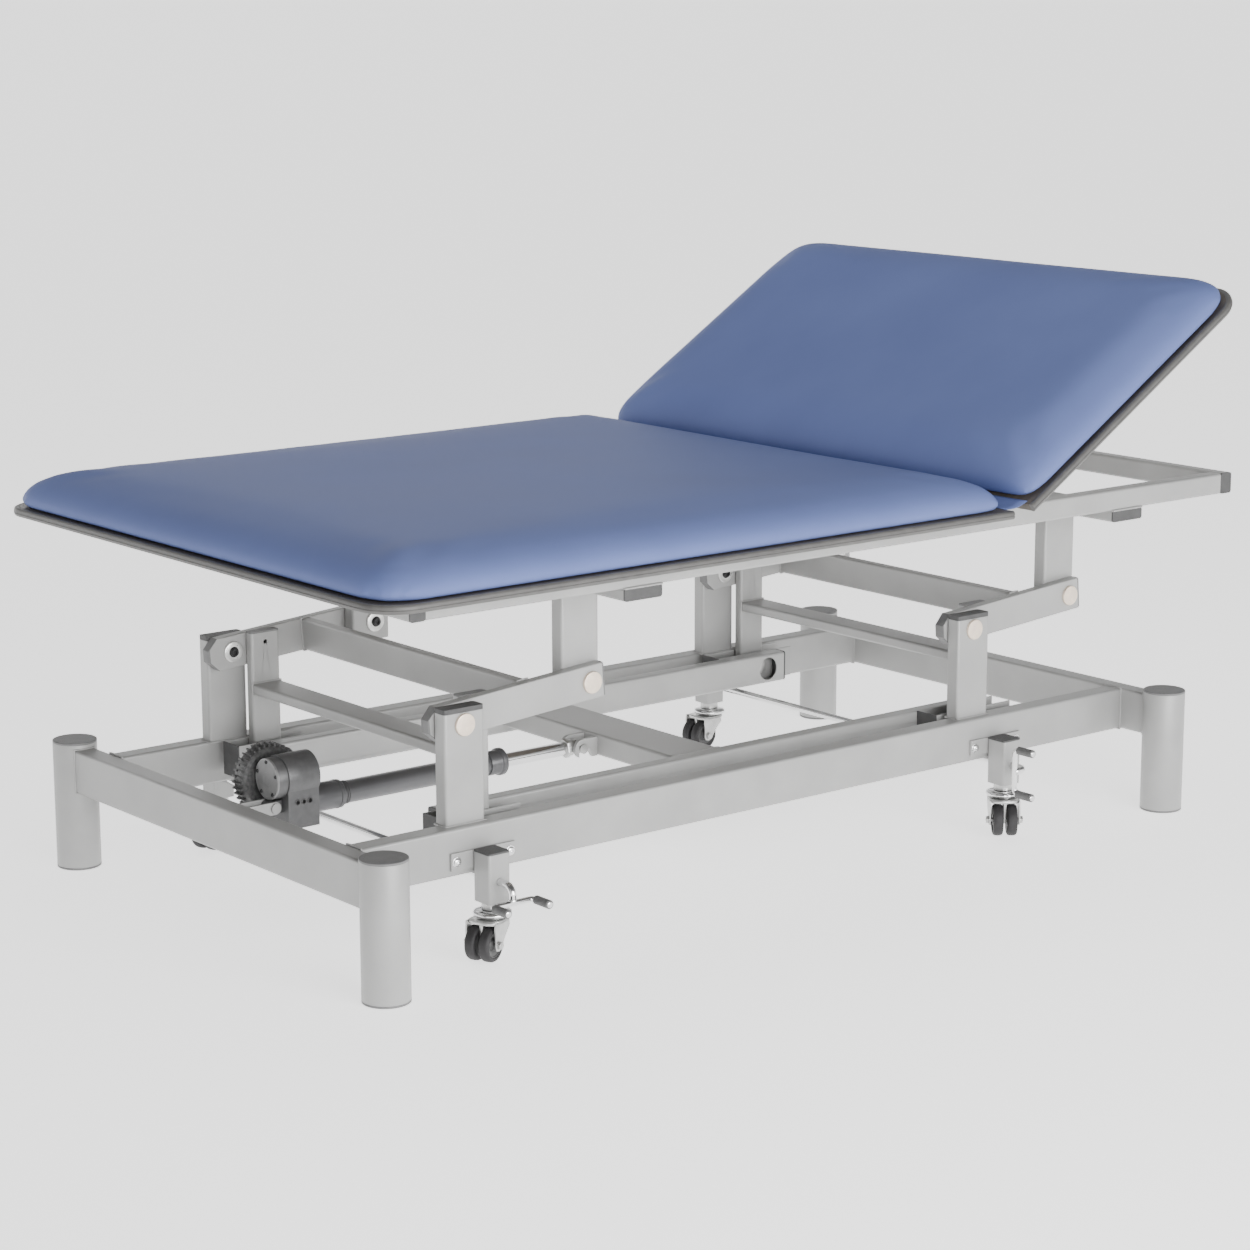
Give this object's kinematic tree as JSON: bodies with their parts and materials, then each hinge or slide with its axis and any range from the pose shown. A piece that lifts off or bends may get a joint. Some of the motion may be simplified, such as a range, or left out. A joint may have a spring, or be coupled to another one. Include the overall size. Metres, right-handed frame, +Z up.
{
  "type": "bobath table",
  "caption": "Two-section therapy table: padded foot and head sections on a frame that parallel arms and a linear actuator raise, with pedal-lowered casters.",
  "frame": {"origin": "on the floor, below the centre of the bounding box with the head section raised 32 degrees", "axes": "+Z up, +X along the table to the head end, -Y the side with the caster pedals"},
  "size_m": [2.081, 1.212, 1.0443],
  "materials": {
    "frame_coat": "satin powder coat",
    "cap_plastic": "fine moulded plastic",
    "zinc_plate": "passivated zinc",
    "chrome": "bright chrome",
    "drive_grey": "satin",
    "drum_steel": "cast, satin",
    "wheel_rubber": "matte",
    "board": "sealed plywood",
    "edge_trim": "extruded trim",
    "vinyl_foam": "foam under smooth vinyl"
  },
  "bodies": {
    "base": {"leg_tubes": "frame_coat", "leg_end_caps": "cap_plastic", "base_end_tubes": "frame_coat", "base_side_rails": "frame_coat", "base_pivot_posts": "frame_coat", "base_tube_caps": "cap_plastic", "base_bolts": "zinc_plate", "caster_housings": "frame_coat", "actuator_bracket": "frame_coat"},
    "foot_arm_frame": {"foot_arms": "frame_coat", "foot_arm_caps": "cap_plastic", "foot_levers": "frame_coat", "foot_arm_cross_tubes": "frame_coat", "foot_upper_pivot_bolts": "zinc_plate"},
    "head_arm_frame": {"head_arms": "frame_coat", "head_arm_caps": "cap_plastic", "head_levers": "frame_coat", "head_arm_cross_tubes": "frame_coat", "head_upper_pivot_bolts": "zinc_plate"},
    "push_frame": {"push_bars": "frame_coat", "lever_forks": "frame_coat", "push_frame_caps": "cap_plastic", "lever_pivot_bolts": "zinc_plate", "push_tube": "frame_coat", "rod_clevis": "frame_coat"},
    "actuator_body": {"actuator_gearbox": "drive_grey", "motor_housing": "drive_grey", "motor_end_plate": "drive_grey", "ribbed_drum": "drum_steel", "actuator_outer_tube": "drive_grey", "actuator_collar": "drive_grey"},
    "actuator_piston": {"actuator_rod": "chrome", "rod_eye": "drive_grey"},
    "top_frame": {"upper_posts": "frame_coat", "lift_cross_tubes": "frame_coat", "top_rails": "frame_coat", "top_end_tubes": "frame_coat", "top_frame_caps": "cap_plastic", "hinge_cross_tube": "frame_coat", "hinge_frame_plates": "frame_coat", "foot_board": "board", "foot_trim": "edge_trim", "foot_cushion": "vinyl_foam"},
    "head_section": {"head_board": "board", "head_trim": "edge_trim", "head_cushion": "vinyl_foam", "hinge_head_arms": "zinc_plate"},
    "foot_pedal_body": {"foot_pedal": "chrome"},
    "foot_stem_body": {"foot_caster_stems": "chrome"},
    "near_foot_fork_body": {"near_foot_caster_fork": "chrome"},
    "near_foot_wheel_body": {"near_foot_caster_wheels": "wheel_rubber"},
    "far_foot_fork_body": {"far_foot_caster_fork": "chrome"},
    "far_foot_wheel_body": {"far_foot_caster_wheels": "wheel_rubber"},
    "head_pedal_body": {"head_pedal": "chrome"},
    "head_stem_body": {"head_caster_stems": "chrome"},
    "near_head_fork_body": {"near_head_caster_fork": "chrome"},
    "near_head_wheel_body": {"near_head_caster_wheels": "wheel_rubber"},
    "far_head_fork_body": {"far_head_caster_fork": "chrome"},
    "far_head_wheel_body": {"far_head_caster_wheels": "wheel_rubber"}
  },
  "joints": [
    {"name": "lift", "type": "hinge", "parent": "base", "child": "foot_arm_frame", "pos_m": [-0.7055, 0, 0.3925], "axis": [0, -1, 0], "range_deg": [-43, 44]},
    {"name": "head_arm_swing", "type": "hinge", "parent": "base", "child": "head_arm_frame", "pos_m": [0.4655, 0, 0.3925], "axis": [0, -1, 0], "range_deg": [-43, 44]},
    {"name": "top_frame_pivot", "type": "hinge", "parent": "foot_arm_frame", "child": "top_frame", "pos_m": [-0.41639, 0, 0.41525], "axis": [0, -1, 0], "range_deg": [-44, 43]},
    {"name": "push_frame_pivot", "type": "hinge", "parent": "foot_arm_frame", "child": "push_frame", "pos_m": [-0.6485, 0, 0.197], "axis": [0, -1, 0], "range_deg": [-44, 43]},
    {"name": "actuator_tilt", "type": "hinge", "parent": "base", "child": "actuator_body", "pos_m": [-0.8545, -0.02, 0.203], "axis": [0, -1, 0], "range_deg": [-3.6, 3.6]},
    {"name": "rod_slide", "type": "slide", "parent": "actuator_body", "child": "actuator_piston", "axis": [1, 0, 0], "range_m": [-0.134, 0.137]},
    {"name": "head_section_tilt", "type": "hinge", "parent": "top_frame", "child": "head_section", "pos_m": [0.3755, 0, 0.643], "axis": [0, -1, 0], "range_deg": [-32, 38]},
    {"name": "foot_pedal_turn", "type": "hinge", "parent": "base", "child": "foot_pedal_body", "pos_m": [-0.6865, -0.483, 0.137], "axis": [0, 1, 0], "range_deg": [0, 90]},
    {"name": "foot_stem_travel", "type": "slide", "parent": "base", "child": "foot_stem_body", "axis": [0, 0, -1], "range_m": [0, 0.0162]},
    {"name": "near_foot_swivel", "type": "hinge", "parent": "foot_stem_body", "child": "near_foot_fork_body", "pos_m": [-0.6865, -0.427, 0.08], "axis": [0, 0, 1], "continuous": true},
    {"name": "near_foot_roll", "type": "hinge", "parent": "near_foot_fork_body", "child": "near_foot_wheel_body", "pos_m": [-0.71369, -0.43968, 0.036], "axis": [0.4226, -0.9063, 0], "continuous": true},
    {"name": "far_foot_swivel", "type": "hinge", "parent": "foot_stem_body", "child": "far_foot_fork_body", "pos_m": [-0.6865, 0.427, 0.08], "axis": [0, 0, 1], "continuous": true},
    {"name": "far_foot_roll", "type": "hinge", "parent": "far_foot_fork_body", "child": "far_foot_wheel_body", "pos_m": [-0.71469, 0.41674, 0.036], "axis": [0.342, -0.9397, 0], "continuous": true},
    {"name": "head_pedal_turn", "type": "hinge", "parent": "base", "child": "head_pedal_body", "pos_m": [0.5065, -0.483, 0.137], "axis": [0, 1, 0], "range_deg": [0, 90]},
    {"name": "head_stem_travel", "type": "slide", "parent": "base", "child": "head_stem_body", "axis": [0, 0, -1], "range_m": [0, 0.0162]},
    {"name": "near_head_swivel", "type": "hinge", "parent": "head_stem_body", "child": "near_head_fork_body", "pos_m": [0.5065, -0.427, 0.08], "axis": [0, 0, 1], "continuous": true},
    {"name": "near_head_roll", "type": "hinge", "parent": "near_head_fork_body", "child": "near_head_wheel_body", "pos_m": [0.48762, -0.45031, 0.036], "axis": [0.7771, -0.6293, 0], "continuous": true},
    {"name": "far_head_swivel", "type": "hinge", "parent": "head_stem_body", "child": "far_head_fork_body", "pos_m": [0.5065, 0.427, 0.08], "axis": [0, 0, 1], "continuous": true},
    {"name": "far_head_roll", "type": "hinge", "parent": "far_head_fork_body", "child": "far_head_wheel_body", "pos_m": [0.47661, 0.42439, 0.036], "axis": [0.0872, -0.9962, 0], "continuous": true}
  ],
  "couplings": [
    {"joint": "head_arm_swing", "follows": "lift", "ratio": 1},
    {"joint": "top_frame_pivot", "follows": "lift", "ratio": -1},
    {"joint": "push_frame_pivot", "follows": "lift", "ratio": -1},
    {"joint": "actuator_tilt", "follows": "lift", "ratio": 0.08},
    {"joint": "rod_slide", "follows": "lift", "m_per_rad": 0.1776},
    {"joint": "foot_stem_travel", "follows": "foot_pedal_turn", "m_per_rad": 0.010186},
    {"joint": "head_stem_travel", "follows": "head_pedal_turn", "m_per_rad": 0.010186}
  ]
}
